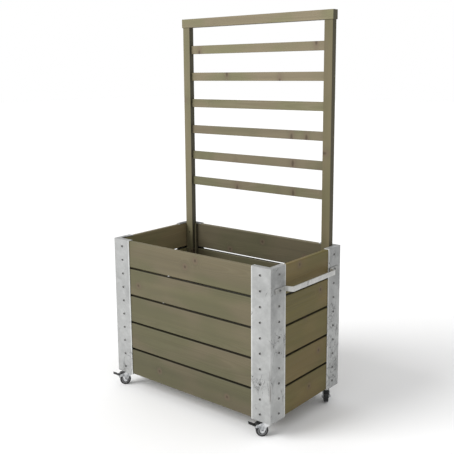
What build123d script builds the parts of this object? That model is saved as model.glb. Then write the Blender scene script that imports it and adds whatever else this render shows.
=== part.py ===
from build123d import *

import os
from math import cos, radians, sin

# Wooden planter box on four braked swivel casters, with a ladder trellis at the back.
# Millimetres, +Z up. X runs along the long front wall and -Y is the front.
# The origin is on the floor, under the middle of the box.

# ---- Box ----
LENGTH = 870.0  # over the steel corners
WIDTH = 500.0
BOARD_HEIGHT = 117.0
BOARD_THICKNESS = 20.0
BOARD_GAP = 8.0
BOARD_ROWS = 5
BOARD_EDGE = 4.0  # rounding of the planed edges
STEEL = 3.0  # sheet of the corner angles

# ---- Steel corner angles ----
LEG_WIDTH = 95.0
FLANGE_WIDTH = BOARD_THICKNESS + STEEL
CORNER_RADIUS = 4.0
BASE_CHAMFER = 22.0

# ---- Fasteners ----
SCREW_INSET = 52.0  # from the outer corner
SCREW_SPREAD = 31.0  # above and below the middle of a board
SCREW_DIAMETER = 5.0
SCREW_LENGTH = 20.0
SCREW_HEAD = 11.0
BOLT_DIAMETER = 8.0
BOLT_LENGTH = 24.0
BOLT_HEAD = 13.0
HEAD_HEIGHT = 0.24  # of a pan head, as a share of its diameter
RECESS_WIDTH = 0.48  # of the driver's socket, as a share of the head's diameter
WOOD_SCREW_DIAMETER = 4.0
WOOD_SCREW_HEAD = 8.0
WOOD_SCREW_LENGTH = 38.0
LONG_WOOD_SCREW = 70.0  # through a trellis post or the top rail

# ---- Handles ----
HANDLE_THICKNESS = 4.0
HANDLE_HEIGHT = 20.0
HANDLE_STANDOFF = 35.0  # from the steel to the outer face of the bar
HANDLE_REACH = 226.0  # half the span over both tabs
HANDLE_BEND = 162.0  # half the span between the inner bends
HANDLE_SLANT = 10.0
HANDLE_BEND_RADIUS = 5.0

# ---- Casters ----
CASTER_HEIGHT = 70.0
CASTER_INSET = 40.0
WHEEL_DIAMETER = 50.0
WHEEL_TRAIL = 26.0
TYRE_WIDTH = 19.0
TYRE_BORE = 36.0
TYRE_EDGE = 4.0
HUB_WIDTH = 22.0
HUB_BOSS = 14.0
HUB_WEB = 8.0
HUB_RIM = 2.5
PLATE_SIZE = 60.0
PLATE_THICKNESS = 2.5
PLATE_CORNER = 5.0
PLATE_HOLES = 46.0
PLATE_BOLT = 6.0
FORK_INNER = 24.0
FORK_SHEET = 2.0
CROWN_RADIUS = 19.5
CROWN_TOP = 9.5  # below the mounting face
CROWN_SHEET = 2.5
RACE_RADIUS = 16.5
RACE_DEPTH = 6.0
BALL_RING = 12.5
BALL_DIAMETER = 3.0
BALL_COUNT = 16
KINGPIN_DIAMETER = 8.0
KINGPIN_HEAD = 14.0
KINGPIN_HEAD_HEIGHT = 3.0
AXLE_DIAMETER = 6.0
AXLE_LENGTH = 40.0
AXLE_HEAD = 10.0
RUNNING_GAP = 0.05  # between a shaft and its hole, on the radius
SIDE_GAP = 0.3  # between flat faces that slide past each other
PEDAL_WIDTH = 20.0
PEDAL_SHEET = 3.0
PEDAL_PIN = (42.0, -19.5)  # trail and height from the swivel point
PIN_DIAMETER = 4.0
KNUCKLE_DIAMETER = 8.0
PEDAL_BEND_RADIUS = 2.0
PEDAL_TRAVEL = 10.0  # degrees, from released to braked
PAD_WIDTH = 14.0
PAD_GAP = 0.4  # from the brake pad to the tyre, braked

# Side outlines of the caster: trail and height, the fork's from the swivel point on the
# mounting face, the pedal's and its pad's from the pedal's pin.
FORK_LEG = (
    (17.0, -46.0),
    (8.0, -29.0),
    (-14.0, -14.0),
    (-14.0, -9.5),
    (24.0, -9.5),
    (37.0, -14.5),
    (45.0, -16.0),
    (56.0, -25.5),
    (54.0, -29.5),
    (38.0, -30.0),
    (35.0, -46.0),
)
PEDAL_ROUTE = (
    (38.0, 7.5),
    (26.0, 2.5),
    (17.0, -3.0),
    (10.0, -0.5),
    (5.0, 6.0),
    (-3.0, 7.0),
    (-13.0, 2.5),
)
PAD_OUTLINE = ((8.0, -1.0), (8.0, -16.0), (12.0, -16.0), (16.0, -3.0))

# ---- Trellis ----
POST_WIDTH = 40.0
POST_DEPTH = 28.0
POST_SPAN = 818.0  # over the posts
POST_TOP = 1626.0
RAIL_HEIGHT = 39.0
RAIL_OVERHANG = 3.0
RUNG_COUNT = 6
RUNG_HEIGHT = 38.0
RUNG_DEPTH = 16.0
RUNG_PITCH = 123.7
TOP_RUNG = 1505.0  # its lower edge
SLAT_EDGE = 1.5
CLEAT_WIDTH = 9.0
CLEAT_DEPTH = 12.0
TRELLIS_SCREW_HEIGHTS = (258.0, 508.0, 648.0)

# ---- Floor ----
BEARER_WIDTH = 40.0
BEARER_HEIGHT = 28.0
FLOOR_THICKNESS = 18.0
FLOOR_BOARDS = 5
FLOOR_BOARD_WIDTH = 84.0

# ---- Levels and faces that follow ----
STEEL_BOTTOM = CASTER_HEIGHT
BOX_BOTTOM = STEEL_BOTTOM + STEEL
ROW_PITCH = BOARD_HEIGHT + BOARD_GAP
BOX_TOP = BOX_BOTTOM + BOARD_ROWS * ROW_PITCH - BOARD_GAP
STEEL_TOP = BOX_TOP + STEEL
LONG_BOARD = LENGTH - 2 * STEEL
INNER_WIDTH = WIDTH - 2 * FLANGE_WIDTH
INNER_LENGTH = LENGTH - 2 * FLANGE_WIDTH
ROW_CENTRES = [BOX_BOTTOM + BOARD_HEIGHT / 2 + row * ROW_PITCH for row in range(BOARD_ROWS)]
SCREW_HEIGHTS = [z + side * SCREW_SPREAD for z in ROW_CENTRES for side in (-1, 1)]
HANDLE_LEVEL = ROW_CENTRES[-1] - SCREW_SPREAD
FLOOR_BOTTOM = BOX_BOTTOM + BEARER_HEIGHT
FLOOR_TOP = FLOOR_BOTTOM + FLOOR_THICKNESS
BACK_INSIDE = INNER_WIDTH / 2
POST_FRONT = BACK_INSIDE - POST_DEPTH
RUNG_SPAN = POST_SPAN - 2 * POST_WIDTH
RUNG_LEVELS = [TOP_RUNG - index * RUNG_PITCH for index in range(RUNG_COUNT)]
POST_CENTRE = (POST_SPAN - POST_WIDTH) / 2
WHEEL_RADIUS = WHEEL_DIAMETER / 2
AXLE_LEVEL = WHEEL_RADIUS - CASTER_HEIGHT  # below the mounting face

# Each wall's plane lies on the outer face of the steel: x along the wall, y up, z outwards.
WALLS = {
    "front": Plane(origin=(0, -WIDTH / 2, 0), x_dir=(1, 0, 0), z_dir=(0, -1, 0)),
    "back": Plane(origin=(0, WIDTH / 2, 0), x_dir=(-1, 0, 0), z_dir=(0, 1, 0)),
    "left": Plane(origin=(-LENGTH / 2, 0, 0), x_dir=(0, -1, 0), z_dir=(-1, 0, 0)),
    "right": Plane(origin=(LENGTH / 2, 0, 0), x_dir=(0, 1, 0), z_dir=(1, 0, 0)),
}
WALL_SPANS = {"front": LENGTH, "back": LENGTH, "left": WIDTH, "right": WIDTH}
BOARD_LENGTHS = {
    "front": LONG_BOARD,
    "back": LONG_BOARD,
    "left": INNER_WIDTH,
    "right": INNER_WIDTH,
}

# Each corner: the side of the box it is on, and the turn that points its legs inwards.
CORNERS = {
    "front_left": (-1, -1, 0),
    "front_right": (1, -1, 90),
    "back_right": (1, 1, 180),
    "back_left": (-1, 1, 270),
}
# The way each wheel trails behind its swivel, in degrees from +X.
TRAIL_HEADINGS = {
    "front_left": 231,
    "front_right": 225,
    "back_right": 308,
    "back_left": 127,
}


def save(part, label):
    part.label = label
    export_step(part, f"parts/{label}.step")


def wall_spots(wall, heights):
    """Where fasteners stand on a wall's outer face, near both of its ends."""
    reach = WALL_SPANS[wall] / 2 - SCREW_INSET
    return [(side * reach, z) for z in heights for side in (-1, 1)]


def is_end_wall(wall):
    return wall in ("left", "right")


def pan_head(diameter, head, length):
    """A pan-head fastener with a hexagon socket: the head stands on z = 0, the shank below it."""
    height = head * HEAD_HEIGHT
    with BuildPart() as fastener:
        with BuildSketch():
            Circle(head / 2)
        extrude(amount=height)
        fillet(fastener.edges().group_by(Axis.Z)[-1], height * 0.7)
        with BuildSketch(Plane.XY.offset(height)):
            RegularPolygon(head * RECESS_WIDTH / 2, 6)
        extrude(amount=-height * 0.6, mode=Mode.SUBTRACT)
        with BuildSketch():
            Circle(diameter / 2)
        extrude(amount=-length)
        chamfer(fastener.edges().group_by(Axis.Z)[0], diameter * 0.3)
    return fastener.part


def countersunk(diameter, head, length):
    """A countersunk wood screw: the head is flush with z = 0."""
    with BuildPart() as fastener:
        with BuildSketch(Plane.XZ):
            with BuildLine():
                Polyline(
                    (0, 0),
                    (head / 2, 0),
                    (diameter / 2, -(head - diameter) / 2),
                    (diameter / 2, diameter - length),
                    (0, -length),
                    close=True,
                )
            make_face()
        revolve(axis=Axis.Z)
        with BuildSketch():
            RegularPolygon(head * RECESS_WIDTH / 2, 6)
        extrude(amount=-diameter * 0.4, mode=Mode.SUBTRACT)
    return fastener.part


def wood_screw_cut(places, length=WOOD_SCREW_LENGTH):
    """Cuts the seats of countersunk screws out of the piece being made."""
    with Locations(*places):
        CounterSinkHole(WOOD_SCREW_DIAMETER / 2, WOOD_SCREW_HEAD / 2, length, 90)


# ---- Walls ----


def make_board(wall, row):
    face = WALLS[wall].offset(-STEEL)
    centre = ROW_CENTRES[row]
    heights = [centre - SCREW_SPREAD, centre + SCREW_SPREAD]
    with BuildPart() as board:
        with BuildSketch(face):
            with Locations((0, centre)):
                Rectangle(BOARD_LENGTHS[wall], BOARD_HEIGHT)
        extrude(amount=-BOARD_THICKNESS)
        long_axis = Axis.Y if is_end_wall(wall) else Axis.X
        fillet(board.edges().filter_by(long_axis), BOARD_EDGE)
        for height in heights:
            bolted = is_end_wall(wall) and height == HANDLE_LEVEL
            radius = (BOLT_DIAMETER if bolted else SCREW_DIAMETER) / 2
            depth = BOLT_LENGTH - HANDLE_THICKNESS if bolted else SCREW_LENGTH
            with BuildSketch(face):
                with Locations(*wall_spots(wall, [height])):
                    Circle(radius)
            extrude(amount=STEEL - depth, mode=Mode.SUBTRACT)
        if wall == "back":
            for height in TRELLIS_SCREW_HEIGHTS:
                if abs(height - centre) < BOARD_HEIGHT / 2:
                    wood_screw_cut(post_screw_places([height]))
    save(board.part, f"{wall}_board_{row + 1}")


def post_screw_places(heights):
    """Screws through the trellis posts into the back wall, heads to the front."""
    front = Plane(origin=(0, POST_FRONT, 0), x_dir=(1, 0, 0), z_dir=(0, -1, 0))
    return [
        front * Location((side * POST_CENTRE, height)) for height in heights for side in (-1, 1)
    ]


# ---- Steel corners ----


def make_corner(name):
    side_x, side_y, turn = CORNERS[name]
    plan = Plane(
        origin=(side_x * LENGTH / 2, side_y * WIDTH / 2, 0),
        x_dir=(cos(radians(turn)), sin(radians(turn)), 0),
        z_dir=(0, 0, 1),
    )
    near_face = Plane(origin=plan.origin, x_dir=plan.x_dir, z_dir=-plan.y_dir)
    far_face = Plane(origin=plan.origin, x_dir=-plan.y_dir, z_dir=-plan.x_dir)
    low = (Align.MIN, Align.MIN)
    with BuildPart() as corner:
        for bottom, height, band in (
            (STEEL_BOTTOM, STEEL_TOP - STEEL_BOTTOM, STEEL),
            (BOX_TOP, STEEL, FLANGE_WIDTH),
            (STEEL_BOTTOM, STEEL, LEG_WIDTH),
        ):
            with BuildSketch(plan.offset(bottom)) as outline:
                Rectangle(LEG_WIDTH, band, align=low)
                Rectangle(band, LEG_WIDTH, align=low)
                by_reach = outline.vertices().sort_by_distance((0, 0))
                fillet(by_reach[0], CORNER_RADIUS)
                if band == LEG_WIDTH:
                    chamfer(outline.vertices().sort_by_distance((0, 0))[-1], BASE_CHAMFER)
            extrude(amount=height)
        for face, inset in ((near_face, SCREW_INSET), (far_face, -SCREW_INSET)):
            end_wall = abs(face.z_dir.X) > 0.5
            for height in SCREW_HEIGHTS:
                bolted = end_wall and height == HANDLE_LEVEL
                with BuildSketch(face):
                    with Locations((inset, height)):
                        Circle((BOLT_DIAMETER if bolted else SCREW_DIAMETER) / 2)
                extrude(amount=-STEEL, mode=Mode.SUBTRACT)
        with BuildSketch(plan.offset(STEEL_BOTTOM)):
            with Locations((CASTER_INSET, CASTER_INSET)):
                with GridLocations(PLATE_HOLES, PLATE_HOLES, 2, 2):
                    Circle(PLATE_BOLT / 2)
        extrude(amount=STEEL, mode=Mode.SUBTRACT)
    save(corner.part, f"corner_{name}")


def make_corner_screws():
    screw = pan_head(SCREW_DIAMETER, SCREW_HEAD, SCREW_LENGTH)
    with BuildPart() as corner_screws:
        for wall, face in WALLS.items():
            heights = [z for z in SCREW_HEIGHTS if not (is_end_wall(wall) and z == HANDLE_LEVEL)]
            with Locations(face):
                with Locations(*wall_spots(wall, heights)):
                    add(screw)
    save(corner_screws.part, "corner_screws")


# ---- Handles ----


def make_handle(wall):
    """A flat bar bent out from a tab at each end, in plan: x along the wall, y outwards."""
    face = WALLS[wall]
    plan = Plane(
        origin=face.from_local_coords((0, HANDLE_LEVEL - HANDLE_HEIGHT / 2, 0)),
        x_dir=face.x_dir,
        z_dir=(0, 0, 1),
    )
    outwards = 1 if plan.y_dir.dot(face.z_dir) > 0 else -1
    inner = HANDLE_THICKNESS / 2
    outer = HANDLE_STANDOFF - HANDLE_THICKNESS / 2
    with BuildPart() as handle:
        with BuildSketch(plan):
            with BuildLine() as route:
                FilletPolyline(
                    (-HANDLE_REACH, outwards * inner),
                    (-HANDLE_BEND, outwards * inner),
                    (-HANDLE_BEND + HANDLE_SLANT, outwards * outer),
                    (HANDLE_BEND - HANDLE_SLANT, outwards * outer),
                    (HANDLE_BEND, outwards * inner),
                    (HANDLE_REACH, outwards * inner),
                    radius=HANDLE_BEND_RADIUS,
                )
            trace(route.line, line_width=HANDLE_THICKNESS)
        extrude(amount=HANDLE_HEIGHT)
        with BuildSketch(face.offset(HANDLE_THICKNESS)):
            with Locations(*wall_spots(wall, [HANDLE_LEVEL])):
                Circle(BOLT_DIAMETER / 2)
        extrude(amount=-HANDLE_THICKNESS, mode=Mode.SUBTRACT)
    save(handle.part, f"handle_{wall}")


def make_handle_bolts():
    bolt = pan_head(BOLT_DIAMETER, BOLT_HEAD, BOLT_LENGTH)
    with BuildPart() as handle_bolts:
        for wall in ("left", "right"):
            with Locations(WALLS[wall].offset(HANDLE_THICKNESS)):
                with Locations(*wall_spots(wall, [HANDLE_LEVEL])):
                    add(bolt)
    save(handle_bolts.part, "handle_bolts")


# ---- Floor ----


def bearer_centres():
    reach = (INNER_LENGTH - BEARER_WIDTH) / 2
    return [-reach, 0, reach]


def floor_board_centres():
    pitch = INNER_WIDTH / FLOOR_BOARDS
    return [(index - (FLOOR_BOARDS - 1) / 2) * pitch for index in range(FLOOR_BOARDS)]


def floor_screw_places():
    return [Location((x, y, FLOOR_TOP)) for x in bearer_centres() for y in floor_board_centres()]


def make_floor():
    with BuildPart() as floor_bearers:
        with BuildSketch(Plane.XY.offset(BOX_BOTTOM)):
            with Locations(*[(x, 0) for x in bearer_centres()]):
                Rectangle(BEARER_WIDTH, INNER_WIDTH)
        extrude(amount=BEARER_HEIGHT)
        wood_screw_cut(floor_screw_places())
    save(floor_bearers.part, "floor_bearers")
    with BuildPart() as floor_boards:
        with BuildSketch(Plane.XY.offset(FLOOR_BOTTOM)):
            with Locations(*[(0, y) for y in floor_board_centres()]):
                Rectangle(INNER_LENGTH, FLOOR_BOARD_WIDTH)
        extrude(amount=FLOOR_THICKNESS)
        wood_screw_cut(floor_screw_places())
    save(floor_boards.part, "floor_boards")


# ---- Trellis ----


def rung_screw_places(levels):
    """Screws through the outer sides of the posts into the ends of the rungs."""
    depth = BACK_INSIDE - RUNG_DEPTH / 2
    places = []
    for side in (-1, 1):
        flank = Plane(origin=(side * POST_SPAN / 2, 0, 0), x_dir=(0, side, 0), z_dir=(side, 0, 0))
        places += [flank * Location((side * depth, z + RUNG_HEIGHT / 2)) for z in levels]
    return places


def rail_screw_places():
    top = POST_TOP + RAIL_HEIGHT
    depth = POST_FRONT + POST_DEPTH / 2
    return [Location((side * POST_CENTRE, depth, top)) for side in (-1, 1)]


def make_post(name, side):
    with BuildPart() as post:
        with BuildSketch(Plane.XY.offset(FLOOR_TOP)):
            with Locations((side * POST_CENTRE, POST_FRONT + POST_DEPTH / 2)):
                Rectangle(POST_WIDTH, POST_DEPTH)
        extrude(amount=POST_TOP - FLOOR_TOP)
        fillet(post.edges().filter_by(Axis.Z), SLAT_EDGE)
        wood_screw_cut(post_screw_places(TRELLIS_SCREW_HEIGHTS))
        wood_screw_cut(rung_screw_places(RUNG_LEVELS), LONG_WOOD_SCREW)
        wood_screw_cut(rail_screw_places(), LONG_WOOD_SCREW)
    save(post.part, f"trellis_post_{name}")


def make_rung(index):
    level = RUNG_LEVELS[index]
    with BuildPart() as rung:
        with BuildSketch(Plane.XY.offset(level)):
            with Locations((0, BACK_INSIDE - RUNG_DEPTH / 2)):
                Rectangle(RUNG_SPAN, RUNG_DEPTH)
        extrude(amount=RUNG_HEIGHT)
        fillet(rung.edges().filter_by(Axis.X), SLAT_EDGE)
        wood_screw_cut(rung_screw_places([level]), LONG_WOOD_SCREW)
    save(rung.part, f"trellis_rung_{index + 1}")


def make_top_rail():
    with BuildPart() as top_rail:
        with BuildSketch(Plane.XY.offset(POST_TOP)):
            with Locations((0, POST_FRONT + POST_DEPTH / 2)):
                Rectangle(POST_SPAN + 2 * RAIL_OVERHANG, POST_DEPTH + 2 * RAIL_OVERHANG)
        extrude(amount=RAIL_HEIGHT)
        fillet(top_rail.edges().filter_by(Axis.X), SLAT_EDGE)
        wood_screw_cut(rail_screw_places(), LONG_WOOD_SCREW)
    save(top_rail.part, "trellis_top_rail")


def make_cleats():
    with BuildPart() as trellis_cleats:
        with BuildSketch(Plane.XY.offset(FLOOR_TOP)):
            for side in (-1, 1):
                with Locations(
                    (side * (RUNG_SPAN - CLEAT_WIDTH) / 2, BACK_INSIDE - CLEAT_DEPTH / 2)
                ):
                    Rectangle(CLEAT_WIDTH, CLEAT_DEPTH)
        extrude(amount=BOX_TOP - FLOOR_TOP)
    save(trellis_cleats.part, "trellis_cleats")


def make_wood_screws():
    with BuildPart() as wood_screws:
        for length, places in (
            (WOOD_SCREW_LENGTH, post_screw_places(TRELLIS_SCREW_HEIGHTS) + floor_screw_places()),
            (LONG_WOOD_SCREW, rung_screw_places(RUNG_LEVELS) + rail_screw_places()),
        ):
            screw = countersunk(WOOD_SCREW_DIAMETER, WOOD_SCREW_HEAD, length)
            with Locations(*places):
                add(screw)
    save(wood_screws.part, "wood_screws")


# ---- Casters ----
# Each caster is laid out from its swivel point on the mounting face: x trails, z is up.


def caster_plane(name):
    side_x, side_y, _ = CORNERS[name]
    heading = radians(TRAIL_HEADINGS[name])
    return Plane(
        origin=(
            side_x * (LENGTH / 2 - CASTER_INSET),
            side_y * (WIDTH / 2 - CASTER_INSET),
            STEEL_BOTTOM,
        ),
        x_dir=(cos(heading), sin(heading), 0),
        z_dir=(0, 0, 1),
    )


def side_plane(top):
    """The upright plane through the swivel point and the trail: x trails, y is up."""
    return Plane(origin=top.origin, x_dir=top.x_dir, z_dir=-top.y_dir)


def make_caster_plates():
    kingpin_end = CROWN_TOP + CROWN_SHEET + SIDE_GAP
    with BuildPart() as caster_plates:
        for side_x, side_y, _ in CORNERS.values():
            at = Location(
                (side_x * (LENGTH / 2 - CASTER_INSET), side_y * (WIDTH / 2 - CASTER_INSET), 0)
            )
            for bottom, height, radius in (
                (RACE_DEPTH, RACE_DEPTH - PLATE_THICKNESS, RACE_RADIUS),
                (kingpin_end, CROWN_TOP, KINGPIN_DIAMETER / 2),
                (kingpin_end + KINGPIN_HEAD_HEIGHT, KINGPIN_HEAD_HEIGHT, KINGPIN_HEAD / 2),
            ):
                with BuildSketch(Plane.XY.offset(STEEL_BOTTOM - bottom)):
                    with Locations(at):
                        Circle(radius)
                extrude(amount=height)
            with BuildSketch(Plane.XY.offset(STEEL_BOTTOM)):
                with Locations(at):
                    RectangleRounded(PLATE_SIZE, PLATE_SIZE, PLATE_CORNER)
                    with GridLocations(PLATE_HOLES, PLATE_HOLES, 2, 2):
                        Circle(PLATE_BOLT / 2, mode=Mode.SUBTRACT)
            extrude(amount=-PLATE_THICKNESS)
    save(caster_plates.part, "caster_plates")


def make_swivel_balls():
    level = -(RACE_DEPTH + CROWN_TOP) / 2
    with BuildPart() as swivel_balls:
        for name in CORNERS:
            with Locations(caster_plane(name).offset(level)):
                with PolarLocations(BALL_RING, BALL_COUNT):
                    Sphere(BALL_DIAMETER / 2)
    save(swivel_balls.part, "swivel_balls")


def make_caster_bolts():
    length = PLATE_THICKNESS + STEEL
    bolt = pan_head(PLATE_BOLT, 2 * PLATE_BOLT, length)
    with BuildPart() as caster_bolts:
        for name in CORNERS:
            under = Plane(
                origin=caster_plane(name).origin - Vector(0, 0, PLATE_THICKNESS),
                x_dir=(1, 0, 0),
                z_dir=(0, 0, -1),
            )
            with Locations(under):
                with GridLocations(PLATE_HOLES, PLATE_HOLES, 2, 2):
                    add(bolt)
    save(caster_bolts.part, "caster_bolts")


def make_fork(name):
    """The swivelling fork: a ball crown, two legs, the wheel's axle and the pedal's pin."""
    top = caster_plane(name)
    side = side_plane(top)
    outer = FORK_INNER / 2 + FORK_SHEET
    crown_bottom = -CROWN_TOP - CROWN_SHEET
    with BuildPart() as fork:
        with BuildSketch(top.offset(crown_bottom)):
            Circle(CROWN_RADIUS)
            Rectangle(WHEEL_TRAIL, 2 * outer, align=(Align.MIN, Align.CENTER))
        extrude(amount=CROWN_SHEET)
        with BuildSketch(top.offset(crown_bottom)):
            Circle(CROWN_RADIUS)
            Circle(RACE_RADIUS + 1, mode=Mode.SUBTRACT)
        extrude(amount=CROWN_SHEET + CROWN_TOP - RACE_DEPTH)
        for way in (-1, 1):
            with BuildSketch(side.offset(way * FORK_INNER / 2)):
                with BuildLine():
                    Polyline(*FORK_LEG, close=True)
                make_face()
                with Locations((WHEEL_TRAIL, AXLE_LEVEL)):
                    Circle(AXLE_HEAD - 1)
            extrude(amount=way * FORK_SHEET)
        with BuildSketch(side):
            with Locations((WHEEL_TRAIL, AXLE_LEVEL)):
                Circle(AXLE_DIAMETER / 2 + RUNNING_GAP)
            with Locations(PEDAL_PIN):
                Circle(PIN_DIAMETER / 2 + RUNNING_GAP)
        extrude(amount=outer, both=True, mode=Mode.SUBTRACT)
        with BuildSketch(top):
            Circle(KINGPIN_DIAMETER / 2 + RUNNING_GAP)
        extrude(amount=crown_bottom, mode=Mode.SUBTRACT)
        for spot, diameter, length in (
            ((WHEEL_TRAIL, AXLE_LEVEL), AXLE_DIAMETER, AXLE_LENGTH),
            (PEDAL_PIN, PIN_DIAMETER, 2 * outer + 2 * FORK_SHEET),
        ):
            with BuildSketch(side):
                with Locations(spot):
                    Circle(diameter / 2)
            extrude(amount=length / 2, both=True)
            for way in (-1, 1):
                with BuildSketch(side.offset(way * length / 2)):
                    with Locations(spot):
                        RegularPolygon(diameter * 0.85, 6)
                extrude(amount=-way * (length / 2 - outer - RUNNING_GAP))
    save(fork.part, f"caster_fork_{name}")


def wheel_plane(name):
    """The wheel's middle plane, centred on its axle."""
    side = side_plane(caster_plane(name))
    return side * Location((WHEEL_TRAIL, AXLE_LEVEL))


def make_wheel(name):
    middle = Plane(wheel_plane(name))
    with BuildPart() as tyre:
        with BuildSketch(middle):
            Circle(WHEEL_RADIUS)
            Circle(TYRE_BORE / 2, mode=Mode.SUBTRACT)
        extrude(amount=TYRE_WIDTH / 2, both=True)
        outside = tyre.edges().filter_by(GeomType.CIRCLE).group_by(SortBy.RADIUS)[-1]
        fillet(outside, TYRE_EDGE)
    save(tyre.part, f"caster_tyre_{name}")
    with BuildPart() as hub:
        with BuildSketch(middle):
            Circle(TYRE_BORE / 2)
        extrude(amount=HUB_WEB / 2, both=True)
        with BuildSketch(middle):
            Circle(TYRE_BORE / 2)
            Circle(TYRE_BORE / 2 - HUB_RIM, mode=Mode.SUBTRACT)
        extrude(amount=TYRE_WIDTH / 2, both=True)
        with BuildSketch(middle):
            Circle(HUB_BOSS / 2)
        extrude(amount=HUB_WIDTH / 2, both=True)
        with BuildSketch(middle):
            Circle(AXLE_DIAMETER / 2 + RUNNING_GAP)
        extrude(amount=HUB_WIDTH, both=True, mode=Mode.SUBTRACT)
    save(hub.part, f"caster_hub_{name}")


def from_pin(points):
    return [Vector(PEDAL_PIN) + Vector(point) for point in points]


def make_pedal(name):
    """The bent brake pedal: its inner end lies over the wheel, its pad faces the tyre."""
    side = side_plane(caster_plane(name))
    axle_from_pin = Vector(WHEEL_TRAIL, AXLE_LEVEL) - Vector(PEDAL_PIN)
    pad_centre = Vector(PEDAL_PIN) + axle_from_pin.rotate(Axis.Z, PEDAL_TRAVEL)
    with BuildPart() as pedal:
        with BuildSketch(side):
            with BuildLine() as route:
                FilletPolyline(*from_pin(PEDAL_ROUTE), radius=PEDAL_BEND_RADIUS)
            trace(route.line, line_width=PEDAL_SHEET)
            with Locations(PEDAL_PIN):
                Circle(KNUCKLE_DIAMETER / 2)
                with Locations((0, KNUCKLE_DIAMETER / 2)):
                    Rectangle(KNUCKLE_DIAMETER / 2, KNUCKLE_DIAMETER)
            with Locations(PEDAL_PIN):
                Circle(PIN_DIAMETER / 2 + RUNNING_GAP, mode=Mode.SUBTRACT)
        extrude(amount=PEDAL_WIDTH / 2, both=True)
        with BuildSketch(side):
            with BuildLine():
                Polyline(*from_pin(PAD_OUTLINE), close=True)
            make_face()
            with Locations(pad_centre):
                Circle(WHEEL_RADIUS + PAD_GAP, mode=Mode.SUBTRACT)
        extrude(amount=PAD_WIDTH / 2, both=True)
    save(pedal.part, f"brake_pedal_{name}")


os.makedirs("parts", exist_ok=True)

for wall_name in WALLS:
    for row_index in range(BOARD_ROWS):
        make_board(wall_name, row_index)
for corner_name in CORNERS:
    make_corner(corner_name)
    make_fork(corner_name)
    make_wheel(corner_name)
    make_pedal(corner_name)
make_corner_screws()
make_handle("left")
make_handle("right")
make_handle_bolts()
make_floor()
make_post("left", -1)
make_post("right", 1)
for rung_index in range(RUNG_COUNT):
    make_rung(rung_index)
make_top_rail()
make_cleats()
make_wood_screws()
make_caster_plates()
make_swivel_balls()
make_caster_bolts()
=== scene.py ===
from math import radians

import bpy
from mathutils import Matrix, Vector


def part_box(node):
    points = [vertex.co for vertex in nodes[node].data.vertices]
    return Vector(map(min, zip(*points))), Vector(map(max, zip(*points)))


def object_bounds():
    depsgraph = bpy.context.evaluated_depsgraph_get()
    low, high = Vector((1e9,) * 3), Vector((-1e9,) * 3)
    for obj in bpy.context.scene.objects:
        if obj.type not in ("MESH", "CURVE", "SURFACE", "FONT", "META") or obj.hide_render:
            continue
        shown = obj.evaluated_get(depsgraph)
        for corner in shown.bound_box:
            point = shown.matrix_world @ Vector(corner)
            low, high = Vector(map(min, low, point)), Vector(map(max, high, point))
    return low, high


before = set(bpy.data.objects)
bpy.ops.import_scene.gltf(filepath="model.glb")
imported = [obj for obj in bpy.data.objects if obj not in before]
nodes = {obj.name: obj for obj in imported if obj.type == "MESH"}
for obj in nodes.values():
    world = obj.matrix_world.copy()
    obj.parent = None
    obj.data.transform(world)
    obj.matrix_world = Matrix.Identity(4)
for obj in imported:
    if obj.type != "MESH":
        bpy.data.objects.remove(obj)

# A wooden planter box on casters with a ladder trellis. Metres, +Z up, -Y is the front.
cad_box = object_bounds()
CORNERS = ("front_left", "front_right", "back_right", "back_left")
SIDES = ("left", "right")
UP, DOWN = (0, 0, 1), (0, 0, -1)
LEFTWARD, RIGHTWARD = (-1, 0, 0), (1, 0, 0)
FORWARD, BACKWARD = (0, -1, 0), (0, 1, 0)
AXIS_ORDER = {"X": (0, 1, 2), "Y": (1, 0, 2), "Z": (2, 0, 1)}  # a piece's long axis, then the others
FACING = (0.70, 0.97)  # how squarely a face looks a given way when its tone sets in, and is full

# ---- Node graphs ----


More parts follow.
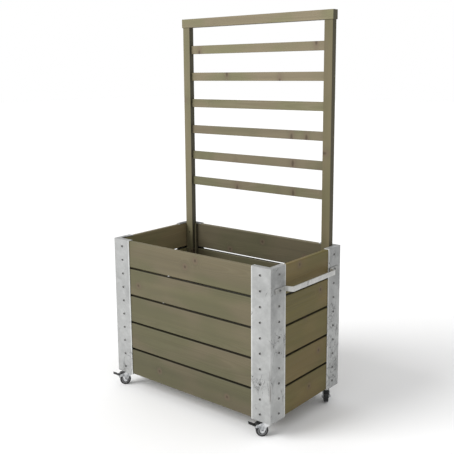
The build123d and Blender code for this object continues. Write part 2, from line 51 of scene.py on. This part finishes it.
class Graph:
    """A material's node tree, with short calls to add and join its nodes."""

    def __init__(self, name):
        self.material = bpy.data.materials.new(name)
        self.material.use_nodes = True
        self.tree = self.material.node_tree
        self.tree.nodes.clear()
        self.shader = self.add("ShaderNodeBsdfPrincipled")
        out = self.add("ShaderNodeOutputMaterial")
        self.tree.links.new(self.shader.outputs[0], out.inputs[0])

    def add(self, kind, inputs=None, **settings):
        node = self.tree.nodes.new(kind)
        for key, value in settings.items():
            setattr(node, key, value)
        for key, value in (inputs or {}).items():
            self.feed(node.inputs[key], value)
        return node

    def feed(self, socket, value):
        """Gives a socket another node's output, or a fixed value."""
        if isinstance(value, bpy.types.NodeSocket):
            self.tree.links.new(value, socket)
        elif isinstance(value, tuple) and len(value) == 3 and socket.type == "RGBA":
            socket.default_value = (*value, 1.0)
        else:
            socket.default_value = value

    def set(self, **inputs):
        """Fills the shader's inputs, written with _ for each space."""
        for key, value in inputs.items():
            self.feed(self.shader.inputs[key.replace("_", " ")], value)

    def math(self, operation, a, b=0.0):
        return self.add("ShaderNodeMath", {0: a, 1: b}, operation=operation).outputs[0]

    def times(self, product, *factors):
        for factor in factors:
            product = self.math("MULTIPLY", product, factor)
        return product

    def vector(self, operation, a, b=(0.0, 0.0, 0.0)):
        node = self.add("ShaderNodeVectorMath", {0: a, 1: b}, operation=operation)
        return node.outputs["Value" if operation in ("LENGTH", "DOT_PRODUCT") else "Vector"]

    def place(self, along="X", shift=(0.0, 0.0, 0.0), stretch=(1.0, 1.0, 1.0)):
        """The object's own coordinates, turned so that the first runs along an axis."""
        split = self.parts(self.add("ShaderNodeTexCoord").outputs["Object"])
        turned = {index: split[axis] for index, axis in enumerate(AXIS_ORDER[along])}
        turned = self.add("ShaderNodeCombineXYZ", turned).outputs[0]
        return self.vector("MULTIPLY", self.vector("ADD", turned, shift), stretch)

    def normal(self):
        """The way that the surface looks, in the object's own coordinates."""
        return self.add("ShaderNodeTexCoord").outputs["Normal"]

    def parts(self, vector):
        return self.add("ShaderNodeSeparateXYZ", {0: vector}).outputs

    def grey(self, value):
        return self.add("ShaderNodeCombineXYZ", {0: value, 1: value, 2: value}).outputs[0]

    def noise(self, at, scale, detail=2.0, roughness=0.5, distortion=0.0):
        inputs = {
            "Vector": at,
            "Scale": scale,
            "Detail": detail,
            "Roughness": roughness,
            "Distortion": distortion,
        }
        return self.add("ShaderNodeTexNoise", inputs).outputs["Fac"]

    def veins(self, at, scale, detail, roughness, distortion, thin, thick):
        """Thin, winding lines: 1 along the middle level of a noise, 0 away from it."""
        level = self.noise(at, scale, detail, roughness, distortion)
        off = self.math("ABSOLUTE", self.math("SUBTRACT", level, 0.5))
        return self.fade(off, thin, thick)

    def ramp(self, value, stops):
        node = self.add("ShaderNodeValToRGB", {0: value})
        points = node.color_ramp.elements
        while len(points) < len(stops):
            points.new(0.5)
        for point, (position, shade) in zip(points, stops):
            point.position = position
            point.color = (shade, shade, shade, 1.0)
        return node.outputs["Color"]

    def span(self, value, low, high, new_low=0.0, new_high=1.0):
        """Eases from one new value to the other as the value goes from low to high."""
        node = self.add(
            "ShaderNodeMapRange",
            {0: value, 1: low, 2: high, 3: new_low, 4: new_high},
            interpolation_type="SMOOTHSTEP",
        )
        return node.outputs[0]

    def fade(self, value, low, high):
        return self.span(value, low, high, 1.0, 0.0)

    def mix(self, share, a, b, blend="MIX"):
        node = self.add("ShaderNodeMix", data_type="RGBA", blend_type=blend)
        factor, first, second = node.inputs[0], node.inputs[6], node.inputs[7]
        self.feed(factor, share)
        self.feed(first, a)
        self.feed(second, b)
        return node.outputs[2]

    def bump(self, height, distance, strength=1.0):
        inputs = {"Height": height, "Distance": distance, "Strength": strength}
        return self.add("ShaderNodeBump", inputs).outputs[0]

    def painted_face_light(self, faces):
        """Painted light and shade: how much lighter or darker each face is, by the way that it looks."""
        normal = self.normal()
        tone = 1.0
        for direction, shade in faces:
            facing = self.vector("DOT_PRODUCT", normal, direction)
            tone = self.times(self.span(facing, *FACING, 1.0, shade), tone)
        return tone


def dress(node, material):
    """Gives a CAD node one material."""
    mesh = nodes[node].data
    mesh.materials.clear()
    mesh.materials.append(material)


# ---- Wood ----

# Each wood's browner and greener shades, knots to a metre, how far a knot is drawn out across the
# grain, and the painted light and shade on the faces that look a given way: painted shade on inner
# faces, slat undersides and post sides, painted light on the left wall's inner face.
WOODS = {
    "front": ((0.125, 0.106, 0.063), (0.103, 0.096, 0.050), 5.0, 1.0, ((BACKWARD, 0.95),)),
    "back": ((0.125, 0.106, 0.063), (0.103, 0.096, 0.050), 5.0, 1.0, ((FORWARD, 0.86),)),
    "left": ((0.130, 0.105, 0.057), (0.110, 0.099, 0.048), 5.0, 1.0, ((RIGHTWARD, 1.85),)),
    "right": ((0.140, 0.105, 0.037), (0.116, 0.096, 0.030), 5.0, 1.0, ((LEFTWARD, 0.95),)),
    "slat": ((0.226, 0.190, 0.122), (0.190, 0.180, 0.098), 9.0, 2.4, ((DOWN, 0.45), (RIGHTWARD, 0.35))),
    "post_left": ((0.192, 0.167, 0.103), (0.167, 0.155, 0.084), 8.0, 2.0, ((RIGHTWARD, 0.33),)),
    "post_right": ((0.154, 0.129, 0.074), (0.132, 0.118, 0.060), 8.0, 2.0, ((RIGHTWARD, 0.42),)),
    "floor": ((0.150, 0.128, 0.075), (0.123, 0.110, 0.062), 5.0, 1.0, ()),
}
WALL_AXES = {"front": "X", "back": "X", "left": "Y", "right": "Y"}
FRONT_TONES = (0.84, 0.99, 1.05, 1.08, 1.07)  # from the bottom board up
RUNG_TONES = (1.00, 0.97, 0.88, 0.79, 0.79, 0.79)  # from the top rung down
GAP_SHADE = 0.30  # painted shade on the upper and lower edges of the boards, in the gaps between them
RIM_LIGHT = 1.20  # painted light on the upper edges of the top boards
SOIL_SIDE_TONE = 0.8  # the top of the floor

GRAIN_STEP = 7.31  # metres of timber between one piece and the next, so that no two look alike
FIBRES = (9.0, 420.0, 420.0)  # patches to a metre, along the grain and across it
STREAKS = (1.1, 26.0, 26.0)
CLOUDS = (2.6, 5.0, 5.0)
DRIFTS = (0.9, 3.0, 3.0)
RING_WIDTH = 0.0034
RING_PROFILE = ((0.0, 0.15), (0.72, 1.0), (0.9, 0.95), (1.0, 0.15))  # how late the wood is, across a ring
RING_FRAY = 0.35  # how far, in rings, the fibres fray a ring's edge
PITH_DEPTH = 0.055  # from a board's middle to the heart of the log
PITH_STEP = 0.02  # sideways, from one log's heart to the next
LOG_TAPER = 0.02  # how fast the rings open along a piece
LOG_BEND = 0.05  # how far the heart strays from a straight line
KNOT_CHANCE = (0.40, 0.42)  # a cell of the pattern below this has no knot in it
KNOT_CORE = (0.005, 0.010)  # where the dark of a knot starts and stops fading out
KNOT_HALO = (0.010, 0.0225)  # the same for the pink round it
KNOT_SWIRL = 0.045  # how far from a knot the grain still bends
KNOT_PUSH = 0.012  # and how far the knot pushes the rings aside
KNOT_RAGGED = 0.003  # how far its edge wavers
KNOT_RAGGED_SCALE = 160.0
DARK_KNOT = (0.040, 0.024, 0.011)
PINK_HALO = (0.160, 0.100, 0.075)
LATE_WOOD = (0.50, 0.42, 0.30)  # multiplies the colour under it
LATE_SHARE, HALO_SHARE, KNOT_SHARE = 0.22, 0.30, 0.62


def knots_in(g, along, away, density, stretch):
    """How dark with knots a point of the face is, how pink round them, and how bent its grain is."""
    lengthwise, second, third = g.parts(g.place(along, (away, away, away)))
    across = g.math("DIVIDE", second if along == "Z" else third, stretch)
    at = g.add("ShaderNodeCombineXYZ", {0: lengthwise, 1: across}).outputs[0]
    cell = g.add("ShaderNodeTexVoronoi", {"Vector": at, "Scale": density}, voronoi_dimensions="2D")
    far = g.math("DIVIDE", cell.outputs["Distance"], density)
    chosen = g.span(g.parts(cell.outputs["Color"])[0], *KNOT_CHANCE)
    ragged = g.times(g.noise(g.place(along), KNOT_RAGGED_SCALE), KNOT_RAGGED)
    edge = g.math("ADD", far, ragged)
    core = g.times(g.fade(edge, *KNOT_CORE), chosen)
    halo = g.times(g.fade(edge, *KNOT_HALO), chosen)
    swirl = g.times(g.fade(far, 0.0, KNOT_SWIRL), chosen)
    return core, halo, swirl


def heart_beside(middle, along, seed):
    """Where the heart of the log runs past a piece: on one side or the other of its middle."""
    heart = Vector([middle[axis] for axis in AXIS_ORDER[along]])
    heart.x = 0.0
    heart.y += PITH_DEPTH * (-1) ** seed
    heart.z += PITH_STEP * ((seed * 5) % 7 - 3)
    return tuple(heart)


def late_wood(g, along, away, heart, swirl, fibre):
    """The darker late wood in each growth ring; the rings wander, and bend round the knots."""
    at = g.place(along, (away, away * 0.7, 0.0), DRIFTS)
    wander = g.add("ShaderNodeTexNoise", {"Vector": at, "Scale": 1.0, "Detail": 2.0})
    wander = g.vector("SUBTRACT", wander.outputs["Color"], (0.5, 0.5, 0.5))
    from_heart = g.vector("SUBTRACT", g.place(along), heart)
    from_heart = g.vector("MULTIPLY", from_heart, (LOG_TAPER, 1.0, 1.0))
    bend = g.vector("MULTIPLY", wander, (0.0, LOG_BEND, LOG_BEND))
    radius = g.vector("LENGTH", g.vector("ADD", from_heart, bend))
    radius = g.math("ADD", radius, g.times(swirl, KNOT_PUSH))
    rings = g.math("ADD", g.math("DIVIDE", radius, RING_WIDTH), g.times(fibre, RING_FRAY))
    return g.ramp(g.math("FRACT", rings), RING_PROFILE)


def wood(name, along, seed, kind, middle, tone, faces):
    """Planed, pressure-treated pine: growth rings round a pith, long streaks and a few knots, with
    painted light and shade on the faces that look given ways.
    """
    g = Graph(name)
    warm, green, knots, stretch, own_face_light = WOODS[kind]
    away = GRAIN_STEP * seed
    knot, halo, swirl = knots_in(g, along, away, knots, stretch)
    fibre = g.noise(g.place(along, (away, 0, 0), FIBRES), 1.0, 3.0, 0.6)
    streak = g.noise(g.place(along, (away, away, 0), STREAKS), 1.0, 3.0, 0.55, 0.4)
    cloud = g.noise(g.place(along, (away, 0, away), CLOUDS), 1.3, 2.0, 0.5)
    late = late_wood(g, along, away, heart_beside(middle, along, seed), swirl, fibre)

    shade = g.times(
        g.span(streak, 0.30, 0.72, 0.94, 1.08),
        tone,
        g.span(fibre, 0.2, 0.8, 0.94, 1.06),
        g.span(swirl, 0.0, 1.0, 1.0, 0.88),
        # painted light and shade, by the way each face looks
        g.painted_face_light(own_face_light + faces),
    )
    colour = g.mix(g.span(cloud, 0.38, 0.62), warm, green)
    colour = g.mix(g.times(late, LATE_SHARE), colour, LATE_WOOD, "MULTIPLY")
    colour = g.mix(1.0, colour, g.grey(shade), "MULTIPLY")
    colour = g.mix(g.times(halo, HALO_SHARE), colour, PINK_HALO)
    colour = g.mix(g.times(knot, KNOT_SHARE), colour, DARK_KNOT)
    relief = g.math("ADD", g.times(late, 0.5), g.times(fibre, 0.7))
    g.set(
        Base_Color=colour,
        Roughness=g.span(fibre, 0.2, 0.8, 0.56, 0.74),
        Specular_IOR_Level=0.35,
        Normal=g.bump(relief, 0.0006, 0.35),
    )
    return g.material


def middle_of(node):
    low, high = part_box(node)
    return (Vector(low) + Vector(high)) / 2


def dress_wood():
    pieces = []
    top_row = len(FRONT_TONES)
    for wall, along in WALL_AXES.items():
        for row, front_tone in enumerate(FRONT_TONES, 1):
            tone = front_tone if wall == "front" else 1.0
            # painted light on the top boards' upper edges, painted shade on the edges in the gaps
            edges = ((UP, RIM_LIGHT if row == top_row else GAP_SHADE), (DOWN, GAP_SHADE))
            pieces.append((f"{wall}_board_{row}", along, wall, tone, edges))
    for index, tone in enumerate(RUNG_TONES, 1):
        pieces.append((f"trellis_rung_{index}", "X", "slat", tone, ()))
    pieces += [
        ("trellis_top_rail", "X", "slat", 1.0, ()),
        ("trellis_post_left", "Z", "post_left", 1.0, ()),
        ("trellis_post_right", "Z", "post_right", 1.0, ()),
        ("trellis_cleats", "Z", "post_left", 1.0, ()),
        ("floor_bearers", "Y", "floor", 1.0, ()),
        ("floor_boards", "X", "floor", 1.0, ((UP, SOIL_SIDE_TONE),)),
    ]
    for seed, (name, along, kind, tone, faces) in enumerate(pieces, 1):
        dress(name, wood(name + "_wood", along, seed, kind, middle_of(name), tone, faces))


# ---- Metal, rubber and plastic ----

# The steel's outer faces, and where its screws lie: in from the upright bend, and up the legs.
steel_low, steel_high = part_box("corner_front_right")
HALF_LENGTH, HALF_WIDTH = steel_high[0], -steel_low[1]
SCREW_INSET = 0.052
SCREW_PITCH = 0.0625
LOWEST_SCREW = 0.10075
SCREW_SOCKET = (0.0028, 0.0040)  # where the painted shade in the driver socket ends, from the screw's axis
SCREW_RING = (0.0055, 0.0095)  # the lighter ring round each screw head, on the steel
LEG_EDGE_HIGHLIGHT = (0.0885, 0.0915)  # from the bend to a leg's free edge, where a painted highlight runs along it

ZINC_STEP = (3.7, 1.9)  # metres of sheet between one piece and the next, so that no two look alike

# Each one's light and dark shades; clouds of dirt or dullness mix them, and on the pressings painted
# highlight and shade as well.
CORNER_ZINC = ((0.405, 0.41, 0.405), (0.335, 0.34, 0.335))
HANDLE_ZINC = ((0.44, 0.44, 0.42), (0.35, 0.35, 0.34))
HEAD_ZINC = ((0.30, 0.30, 0.29), (0.16, 0.16, 0.155))
BOLT_ZINC = ((0.62, 0.62, 0.60), (0.46, 0.46, 0.45))
# the pressings' shades lie far apart: zinc patches with painted highlight and shade in them
PRESSING_ZINC_AND_SHEEN = ((0.74, 0.75, 0.76), (0.26, 0.27, 0.28))
BALL_STEEL = ((0.60, 0.60, 0.60), (0.55, 0.55, 0.55))
DARK_SCREW = ((0.20, 0.18, 0.12), (0.10, 0.09, 0.06))
TYRE_RUBBER = ((0.014, 0.014, 0.015), (0.006, 0.006, 0.007))
HUB_PLASTIC = ((0.270, 0.270, 0.275), (0.180, 0.180, 0.185))
PEDAL_COATING = ((0.020, 0.020, 0.021), (0.010, 0.010, 0.010))
SOCKET_SHADE = (0.012, 0.011, 0.010)

# How scratched each corner is near its foot, and how light its flange over the rim is; the far left one's
# flange is darkened as painted shade.
CORNER_WEAR = {"front_left": 0.03, "front_right": 0.02, "back_right": 0.13, "back_left": 0.03}
FLANGE_SHADES = {"front_left": 1.0, "front_right": 1.0, "back_right": 1.0, "back_left": 0.25}
END_WEAR = 0.07  # added on the faces that look left or right
TOP_WEAR = -0.08
WORN_HEIGHTS = (0.20, 0.62)  # between these the wear goes from the corner's own to TOP_WEAR
WORN_PATCH = (0.52, 0.62)  # the wear at which scribbles set in, and are full
ROUGH_PATCH = (0.58, 0.72)  # the same for the finer scribbles between them
SCRIBBLE = (0.09, 0.09, 0.088)
SCRIBBLE_SHARE = 0.85
RUBBED_HEIGHTS = (0.30, 0.45)  # between these the dirt along the upright bend dies out
RUBBED_BEND = (0.003, 0.010)
RUB_DIRT = (0.11, 0.10, 0.09)
RUB_SHARE = 0.6
END_SHADE_HEIGHTS = (0.25, 0.66)  # between these the painted light and shade on the end faces goes from a little lighter to darker
END_SHADE_TONES = (0.10, -0.22)


def wall_distances(g):
    """Where a point on the steel's outside lies: from the upright bend, from a screw, and how high."""
    x, y, z = g.parts(g.place())
    from_end = g.math("SUBTRACT", HALF_LENGTH, g.math("ABSOLUTE", x))
    from_side = g.math("SUBTRACT", HALF_WIDTH, g.math("ABSOLUTE", y))
    from_bend = g.math("MAXIMUM", from_end, from_side)
    across = g.math("SUBTRACT", from_bend, SCREW_INSET)
    lift = g.math("SUBTRACT", z, LOWEST_SCREW)
    nearest = {0: lift, 1: -SCREW_PITCH / 2, 2: SCREW_PITCH / 2}
    rise = g.add("ShaderNodeMath", nearest, operation="WRAP").outputs[0]
    from_screw = g.vector("LENGTH", g.add("ShaderNodeCombineXYZ", {0: across, 1: rise}).outputs[0])
    return from_bend, from_screw, z


def scribbles(g, at, shift, z, endwise, wear):
    """Thin dark lines, with finer ones between them where the steel is most worn."""
    patches = g.math("ADD", g.noise(at, 11.0, 2.0, 0.5, 0.3), g.span(z, *WORN_HEIGHTS, wear, TOP_WEAR))
    patches = g.math("ADD", patches, g.times(endwise, END_WEAR))
    line = g.veins(g.place("X", shift, (1.0, 1.0, 0.6)), 17.0, 1.5, 0.5, 1.3, 0.004, 0.034)
    fine = g.veins(g.place("X", shift, (1.0, 1.0, 0.7)), 42.0, 2.0, 0.6, 1.6, 0.003, 0.050)
    fine = g.times(fine, g.span(patches, *ROUGH_PATCH))
    grit = g.noise(g.place("X", shift, (1.0, 1.0, 0.4)), 320.0, 3.0, 0.7)
    return g.times(
        g.math("MAXIMUM", line, fine),
        g.span(patches, *WORN_PATCH),
        g.span(grit, 0.40, 0.60, 0.25, 1.0),
    )


def bend_rub(g, shift, from_bend, z):
    """Upright streaks of dirt along the lower part of the bend."""
    streak = g.span(g.noise(g.place("X", shift, (1, 1, 0.12)), 60.0, 2.0), 0.52, 0.62)
    return g.times(streak, g.fade(from_bend, *RUBBED_BEND), g.fade(z, *RUBBED_HEIGHTS))


def galvanised(name, seed, shades, wear, flange_shade=1.0):
    """Hot-dip zinc: faint spangle, cloudy patches, thin dark scribbles from handling, and painted light,
    highlight and shade on the edges, end faces and flange.
    """
    g = Graph(name)
    light, dark = shades
    shift = (ZINC_STEP[0] * seed, ZINC_STEP[1] * seed, 0.0)
    at = g.place("X", shift)
    from_bend, from_screw, z = wall_distances(g)
    endwise = g.span(g.math("ABSOLUTE", g.parts(g.normal())[0]), 0.5, 0.9)
    cloud = g.noise(at, 9.0, 4.0, 0.62, 0.6)
    blotch = g.noise(at, 24.0, 3.0, 0.55, 0.8)
    cell = g.add("ShaderNodeTexVoronoi", {"Vector": at, "Scale": 85.0})
    spangle = g.parts(cell.outputs["Color"])[0]

    tone = g.times(g.span(spangle, 0.0, 1.0, 0.97, 1.03), g.span(blotch, 0.3, 0.7, 0.94, 1.04))
    # lighter ring round each screw head
    tone = g.math("ADD", tone, g.span(from_screw, *SCREW_RING, 0.14, 0.0))
    # painted highlight along each leg's free edge
    tone = g.math("ADD", tone, g.span(from_bend, *LEG_EDGE_HIGHLIGHT, 0.0, 0.55))
    # painted light low on the end faces, painted shade high on them
    tone = g.math("ADD", tone, g.times(g.span(z, *END_SHADE_HEIGHTS, *END_SHADE_TONES), endwise))
    # painted shade on the flange's upward faces
    tone = g.times(tone, g.painted_face_light(((UP, flange_shade),)))
    grey = g.mix(g.span(cloud, 0.32, 0.68), dark, light)
    grey = g.mix(1.0, grey, g.grey(tone), "MULTIPLY")
    scribble = scribbles(g, at, shift, z, endwise, wear)
    grey = g.mix(g.times(scribble, SCRIBBLE_SHARE), grey, SCRIBBLE)
    grey = g.mix(g.times(bend_rub(g, shift, from_bend, z), RUB_SHARE), grey, RUB_DIRT)
    g.set(
        Base_Color=grey,
        Metallic=0.45,
        Roughness=g.span(cloud, 0.3, 0.7, 0.60, 0.46),
        Normal=g.bump(g.math("ADD", cloud, g.times(spangle, 0.15)), 0.0010, 0.2),
    )
    return g.material


def screw_zinc(name, shades):
    """Zinc-plated pan heads, with painted shade in the driver socket."""
    g = Graph(name)
    light, dark = shades
    from_screw = wall_distances(g)[1]
    cloud = g.noise(g.place(), 160.0, 2.0, 0.6)
    grey = g.mix(g.span(cloud, 0.3, 0.7), dark, light)
    g.set(
        # painted shade in the driver socket
        Base_Color=g.mix(g.fade(from_screw, *SCREW_SOCKET), grey, SOCKET_SHADE),
        Metallic=g.span(from_screw, *SCREW_SOCKET, 0.0, 0.6),
        Roughness=g.span(cloud, 0.3, 0.7, 0.5, 0.36),
        Normal=g.bump(cloud, 0.0002, 0.3),
    )
    return g.material


def plated(name, shades, roughness=0.34):
    """Zinc-plated pressings and fasteners, a little dulled in patches; on the pressings the patches are
    also painted highlight and shade.
    """
    g = Graph(name)
    light, dark = shades
    at = g.place()
    cloud = g.noise(at, 60.0, 3.0, 0.6)
    fine = g.noise(at, 900.0, 2.0, 0.5)
    g.set(
        Base_Color=g.mix(g.span(cloud, 0.3, 0.7), dark, light),
        Metallic=0.9,
        Roughness=g.span(cloud, 0.3, 0.7, roughness + 0.12, roughness - 0.06),
        Normal=g.bump(fine, 0.0002, 0.3),
    )
    return g.material


def moulded(name, shades, roughness, grain):
    """Rubber or plastic with a fine moulded grain and dusty patches."""
    g = Graph(name)
    light, dark = shades
    at = g.place()
    dust = g.noise(at, 45.0, 4.0, 0.6)
    pores = g.noise(at, grain, 2.0, 0.6)
    g.set(
        Base_Color=g.mix(g.span(dust, 0.35, 0.75), dark, light),
        Roughness=g.span(dust, 0.3, 0.7, roughness, roughness + 0.14),
        Normal=g.bump(pores, 0.0003, 0.35),
    )
    return g.material


def dress_hardware():
    for seed, corner in enumerate(CORNERS, 1):
        wear, flange_shade = CORNER_WEAR[corner], FLANGE_SHADES[corner]
        zinc = galvanised(f"zinc_{corner}", seed, CORNER_ZINC, wear, flange_shade)
        dress(f"corner_{corner}", zinc)
    for seed, side in enumerate(SIDES, 11):
        dress(f"handle_{side}", galvanised(f"zinc_handle_{side}", seed, HANDLE_ZINC, 0.0))
    heads = screw_zinc("zinc_screw_heads", HEAD_ZINC)
    dress("corner_screws", heads)
    dress("handle_bolts", heads)
    dress("caster_bolts", plated("zinc_bolts", BOLT_ZINC))
    dress("wood_screws", plated("dark_wood_screws", DARK_SCREW, 0.5))
    pressing = plated("zinc_pressings", PRESSING_ZINC_AND_SHEEN, 0.26)
    dress("caster_plates", pressing)
    dress("swivel_balls", plated("ball_steel", BALL_STEEL, 0.15))
    tyre = moulded("tyre_rubber", TYRE_RUBBER, 0.50, 1800.0)
    hub = moulded("hub_plastic", HUB_PLASTIC, 0.42, 2400.0)
    pedal = moulded("pedal_coating", PEDAL_COATING, 0.36, 3000.0)
    for corner in CORNERS:
        dress(f"caster_fork_{corner}", pressing)
        dress(f"caster_tyre_{corner}", tyre)
        dress(f"caster_hub_{corner}", hub)
        dress(f"brake_pedal_{corner}", pedal)


# ---- Softened edges ----

CORNER_EDGES = {"corner": 0.0006, "caster_fork": 0.0004, "brake_pedal": 0.0005}
HANDLE_EDGE = 0.0008
SHARP_ANGLE = 50  # degrees between two faces


def soften(node, width):
    """Rounds a CAD node's sharp edges so that they catch the light."""
    bevel = nodes[node].modifiers.new("soft_edges", "BEVEL")
    bevel.width = width
    bevel.segments = 2
    bevel.limit_method = "ANGLE"
    bevel.angle_limit = radians(SHARP_ANGLE)


def soften_steel():
    for corner in CORNERS:
        for piece, width in CORNER_EDGES.items():
            soften(f"{piece}_{corner}", width)
    for side in SIDES:
        soften(f"handle_{side}", HANDLE_EDGE)


# ---- Studio ----

FLOOR_SIZE = 60.0
FLOOR_WHITE = (0.96, 0.96, 0.96)
SKY_LIGHT = 0.74
SUN_LIGHT = 2.4
SUN_WAY = (0.45, 0.70, -0.55)  # the way its light travels
SUN_SPREAD = 35  # degrees; this wide, it throws soft shadows
CAMERA_PLACE = Vector((1.978, -2.369, 1.415))
CAMERA_AZIMUTH = 39.62
CAMERA_TILT = 9.89  # degrees down
CAMERA_ROLL = -0.43
CAMERA_LENS = 57.5
CAMERA_SHIFT = -0.06


def make_camera():
    data = bpy.data.cameras.new("camera")
    data.lens = CAMERA_LENS
    data.shift_y = CAMERA_SHIFT
    camera = bpy.data.objects.new("camera", data)
    turn = Matrix.Rotation(radians(CAMERA_AZIMUTH), 4, "Z")
    tilt = Matrix.Rotation(radians(90 - CAMERA_TILT), 4, "X")
    roll = Matrix.Rotation(radians(CAMERA_ROLL), 4, "Z")
    camera.matrix_world = Matrix.Translation(CAMERA_PLACE) @ turn @ tilt @ roll
    bpy.context.scene.collection.objects.link(camera)
    bpy.context.scene.camera = camera


def make_sun():
    data = bpy.data.lights.new("key", "SUN")
    data.energy = SUN_LIGHT
    data.angle = radians(SUN_SPREAD)
    sun = bpy.data.objects.new("key", data)
    sun.rotation_euler = Vector(SUN_WAY).to_track_quat("-Z", "Y").to_euler()
    bpy.context.scene.collection.objects.link(sun)


def make_floor():
    bpy.ops.mesh.primitive_plane_add(size=FLOOR_SIZE, location=(0.0, 0.0, cad_box[0][2]))
    floor = bpy.context.object
    floor.name = "studio_floor"
    g = Graph("studio_floor")
    g.set(Base_Color=FLOOR_WHITE, Roughness=0.9)
    floor.data.materials.append(g.material)


def make_world():
    """White behind the object, and a softer even light on it."""
    world = bpy.data.worlds.new("studio")
    world.use_nodes = True
    tree = world.node_tree
    sky = tree.nodes["Background"]
    sky.inputs["Color"].default_value = (1.0, 1.0, 1.0, 1.0)
    seen = tree.nodes.new("ShaderNodeLightPath").outputs["Is Camera Ray"]
    share = tree.nodes.new("ShaderNodeMapRange")
    share.inputs["To Min"].default_value = SKY_LIGHT
    share.inputs["To Max"].default_value = 1.0
    tree.links.new(seen, share.inputs["Value"])
    tree.links.new(share.outputs[0], sky.inputs["Strength"])
    bpy.context.scene.world = world
    bpy.context.scene.view_settings.view_transform = "Standard"


make_camera()
make_world()
make_floor()
make_sun()
dress_wood()
dress_hardware()
soften_steel()
